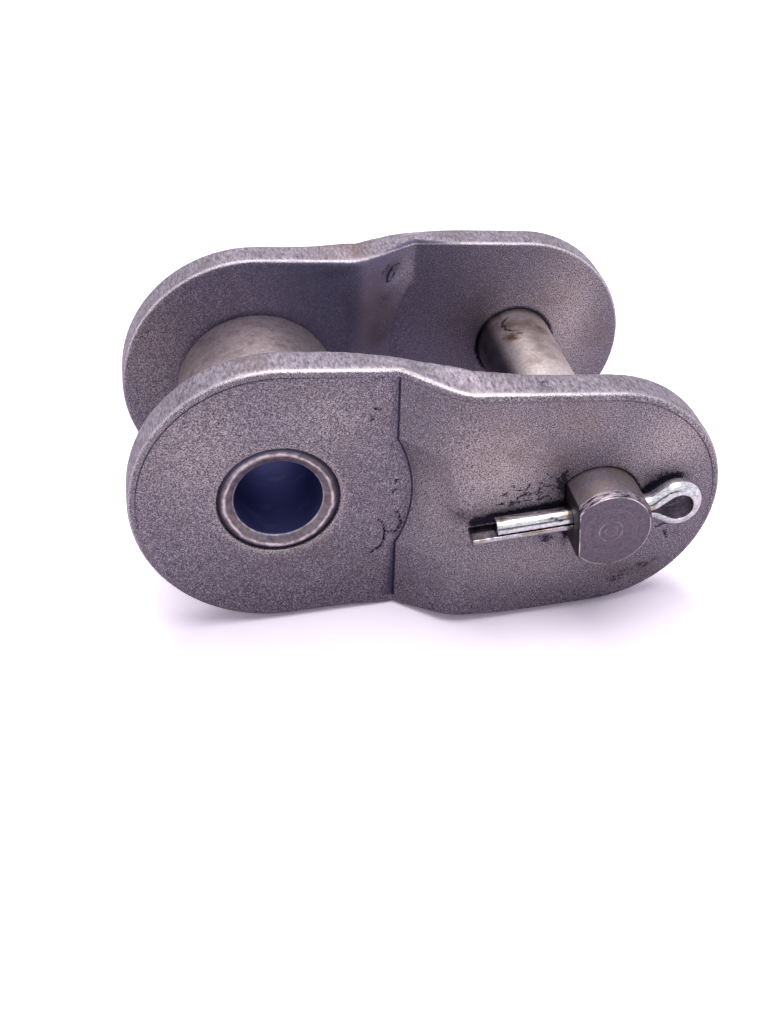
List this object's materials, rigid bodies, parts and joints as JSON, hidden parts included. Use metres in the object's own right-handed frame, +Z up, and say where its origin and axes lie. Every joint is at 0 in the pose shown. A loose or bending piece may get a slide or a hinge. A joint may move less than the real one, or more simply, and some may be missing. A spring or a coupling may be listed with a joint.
{
  "type": "roller chain offset link",
  "caption": "Cranked steel link that joins a roller chain end to a narrow or a wide end: a bush with a turning roller at one end, a drawable connecting pin held by a split pin at the other.",
  "frame": {"origin": "on the bush axis, midway between the two plates", "axes": "+X along the pitch line from the bush to the connecting pin, +Y along the bush axis away from the split pin, +Z up across the height of the plates"},
  "size_m": [0.0957, 0.0694, 0.0482],
  "materials": {
    "plate_steel": "heat-treated steel plate, shot-peened to an even matt grey, with bright worn edges",
    "bush_steel": "hardened steel, turned ends, dark oiled bore",
    "roller_steel": "hardened steel, satin, warm grey",
    "pin_steel": "hardened and ground steel, turned end, light rust stains",
    "zinc_wire": "zinc-plated half round wire with yellow-brown stains"
  },
  "bodies": {
    "link": {"near_link_plate": "plate_steel", "far_link_plate": "plate_steel", "bush": "bush_steel", "connecting_pin": "pin_steel"},
    "roller": {"roller": "roller_steel"},
    "split_pin": {"split_pin": "zinc_wire"}
  },
  "joints": [
    {"name": "roller_spin", "type": "hinge", "parent": "link", "child": "roller", "pos_m": [0, 0, 0], "axis": [0, 1, 0], "continuous": true},
    {"name": "split_pin_draw", "type": "slide", "parent": "link", "child": "split_pin", "axis": [0.9962, 0, 0.0872], "range_m": [0, 0.032]}
  ]
}
